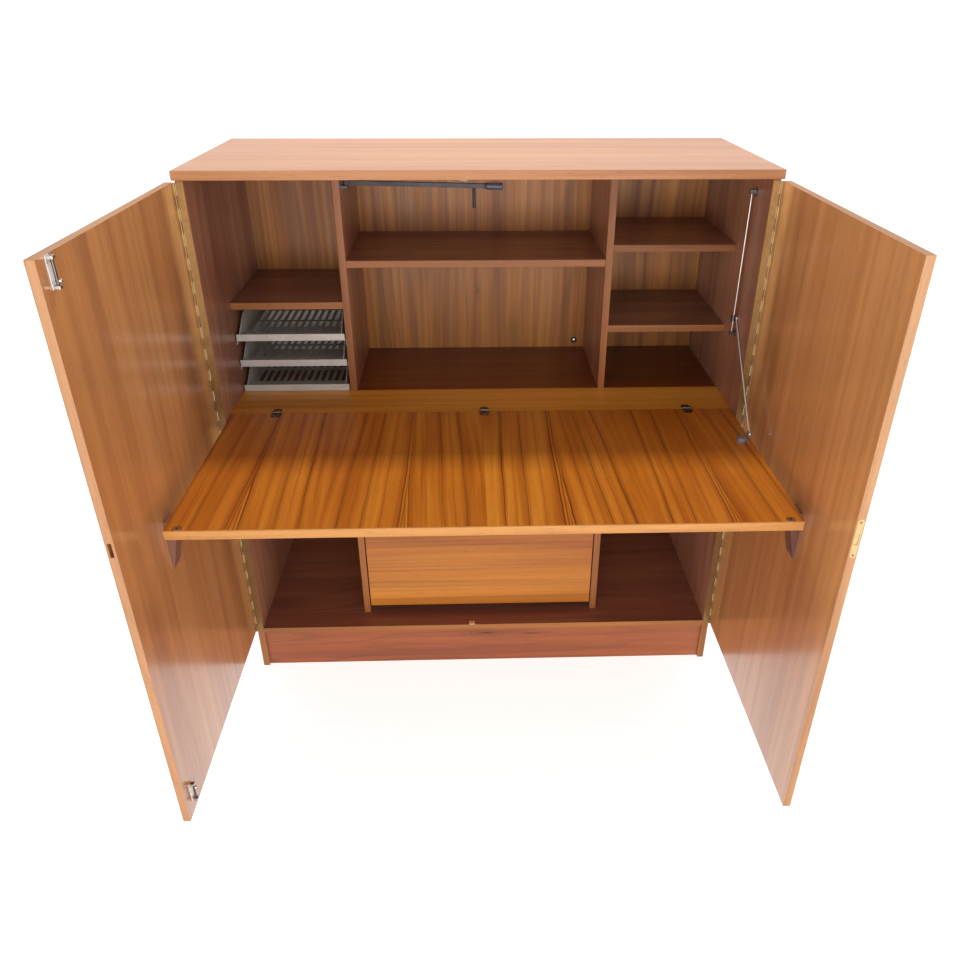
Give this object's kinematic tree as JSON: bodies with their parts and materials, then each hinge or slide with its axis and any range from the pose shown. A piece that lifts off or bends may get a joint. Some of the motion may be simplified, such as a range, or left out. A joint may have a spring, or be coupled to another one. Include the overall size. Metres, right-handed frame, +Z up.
{
  "type": "secretary desk",
  "caption": "Teak secretary desk with hinged cupboard doors, a drop-front writing leaf on a sliding stay, open compartments, letter trays, drawers and a swing-out lamp arm.",
  "frame": {"origin": "on the floor, below the middle of the whole object with its doors standing open at right angles", "axes": "+Z up, +Y from the open front towards the back panel, +X to the right seen from the front"},
  "size_m": [1.2236, 1.0858, 1.246],
  "materials": {
    "teak_top": "satin",
    "teak_sides": "satin",
    "teak_doors": "satin",
    "teak_leaf": "satin",
    "teak_lipping": "satin",
    "teak_uprights": "satin",
    "teak_shelves": "satin",
    "teak_plinth": "satin",
    "teak_back": "satin",
    "teak_drawers": "satin",
    "support_wood": "satin",
    "drawer_wood": "raw",
    "drawer_board": "raw",
    "brass": "satin",
    "bright_steel": "polished",
    "bolt_metal": "satin",
    "lock_steel": "brushed",
    "tray_metal": "satin enamel",
    "lamp_metal": "satin",
    "lamp_chrome": "polished",
    "black_plastic": "matte"
  },
  "bodies": {
    "carcase": {"top_panel": "teak_top", "left_side": "teak_sides", "right_side": "teak_sides", "bottom_shelf": "teak_shelves", "plinth": "teak_plinth", "back_panel": "teak_back", "writing_floor": "teak_shelves", "left_divider": "teak_uprights", "right_divider": "teak_uprights", "left_shelf": "teak_shelves", "centre_shelf": "teak_shelves", "right_upper_shelf": "teak_shelves", "right_lower_shelf": "teak_shelves", "lower_left_divider": "teak_uprights", "lower_right_divider": "teak_uprights", "tray_guides": "tray_metal", "drawer_runners": "drawer_wood", "floor_glides": "black_plastic", "left_hinge_fixed_leaf": "brass", "right_hinge_fixed_leaf": "brass", "door_hinge_pins": "brass", "leaf_hinge_fixed_plates": "bolt_metal", "leaf_hinge_pins": "bright_steel", "stay_rod": "bright_steel", "stay_brackets": "bolt_metal", "lamp_bracket": "lamp_metal", "cable_grommet": "black_plastic", "bolt_keeps": "bright_steel"},
    "left_door_set": {"left_door": "teak_doors", "left_hinge_door_leaf": "brass", "left_leaf_support": "support_wood", "bolt_plates": "bright_steel"},
    "upper_slide_bolt": {"upper_bolt": "bright_steel"},
    "lower_slide_bolt": {"lower_bolt": "bright_steel"},
    "right_door_set": {"right_door": "teak_doors", "right_hinge_door_leaf": "brass", "right_leaf_support": "support_wood", "lock_case": "lock_steel", "lock_faceplate": "brass", "key_escutcheon": "brass"},
    "lock_dead_bolt": {"lock_bolt": "lock_steel"},
    "leaf": {"writing_leaf": "teak_leaf", "leaf_lipping": "teak_lipping", "leaf_hinge_moving_plates": "bolt_metal", "leaf_catch_plates": "bright_steel", "stay_foot": "bolt_metal"},
    "slider": {"stay_slider": "bright_steel"},
    "arm": {"stay_arm": "bright_steel"},
    "upper_tray": {"tray_upper": "tray_metal"},
    "middle_tray": {"tray_middle": "tray_metal"},
    "lower_tray": {"tray_lower": "tray_metal"},
    "upper_drawer": {"upper_drawer_front": "teak_drawers", "upper_drawer_box": "drawer_wood", "upper_drawer_bottom": "drawer_board"},
    "lower_drawer": {"lower_drawer_front": "teak_drawers", "lower_drawer_box": "drawer_wood", "lower_drawer_bottom": "drawer_board"},
    "lamp": {"lamp_arm": "lamp_metal", "lamp_sleeve": "lamp_chrome"},
    "switch": {"lamp_switch": "black_plastic"}
  },
  "joints": [
    {"name": "left_door_hinge", "type": "hinge", "parent": "carcase", "child": "left_door_set", "pos_m": [-0.5953, 0.0514, 0.673], "axis": [0, 0, -1], "range_deg": [-2.5, 88]},
    {"name": "right_door_hinge", "type": "hinge", "parent": "carcase", "child": "right_door_set", "pos_m": [0.5953, 0.0514, 0.673], "axis": [0, 0, 1], "range_deg": [-2.5, 88]},
    {"name": "upper_bolt_slide", "type": "slide", "parent": "left_door_set", "child": "upper_slide_bolt", "axis": [0, 0, 1], "range_m": [0, 0.014]},
    {"name": "lower_bolt_slide", "type": "slide", "parent": "left_door_set", "child": "lower_slide_bolt", "axis": [0, 0, -1], "range_m": [0, 0.018]},
    {"name": "lock_bolt_slide", "type": "slide", "parent": "right_door_set", "child": "lock_dead_bolt", "axis": [0, -1, 0], "range_m": [0, 0.01]},
    {"name": "leaf_hinge", "type": "hinge", "parent": "carcase", "child": "leaf", "pos_m": [0, 0.0964, 0.7213], "axis": [-1, 0, 0], "range_deg": [0, 90]},
    {"name": "stay_slide", "type": "slide", "parent": "carcase", "child": "slider", "axis": [0, 0, 1], "range_m": [0, 0.23574]},
    {"name": "stay_arm_pivot", "type": "hinge", "parent": "leaf", "child": "arm", "pos_m": [0.574, -0.0591, 0.727], "axis": [1, 0, 0], "range_deg": [0, 128.13]},
    {"name": "upper_tray_slide", "type": "slide", "parent": "carcase", "child": "upper_tray", "axis": [0, 1, 0], "range_m": [-0.18, 0]},
    {"name": "middle_tray_slide", "type": "slide", "parent": "carcase", "child": "middle_tray", "axis": [0, 1, 0], "range_m": [-0.18, 0]},
    {"name": "lower_tray_slide", "type": "slide", "parent": "carcase", "child": "lower_tray", "axis": [0, 1, 0], "range_m": [-0.1, 0]},
    {"name": "upper_drawer_slide", "type": "slide", "parent": "carcase", "child": "upper_drawer", "axis": [0, -1, 0], "range_m": [0, 0.32]},
    {"name": "lower_drawer_slide", "type": "slide", "parent": "carcase", "child": "lower_drawer", "axis": [0, -1, 0], "range_m": [0, 0.32]},
    {"name": "lamp_swing", "type": "hinge", "parent": "carcase", "child": "lamp", "pos_m": [-0.291, 0.2399, 1.1935], "axis": [0, 0, 1], "range_deg": [-80, 8.5]},
    {"name": "lamp_switch_pull", "type": "slide", "parent": "lamp", "child": "switch", "axis": [0, 0, -1], "range_m": [0, 0.005], "stiffness_N_per_m": 200, "springref_m": -0.002}
  ],
  "couplings": [
    {"joint": "stay_slide", "follows": "leaf_hinge", "m_per_rad": 0.14995},
    {"joint": "stay_arm_pivot", "follows": "leaf_hinge", "ratio": 1.4226}
  ]
}
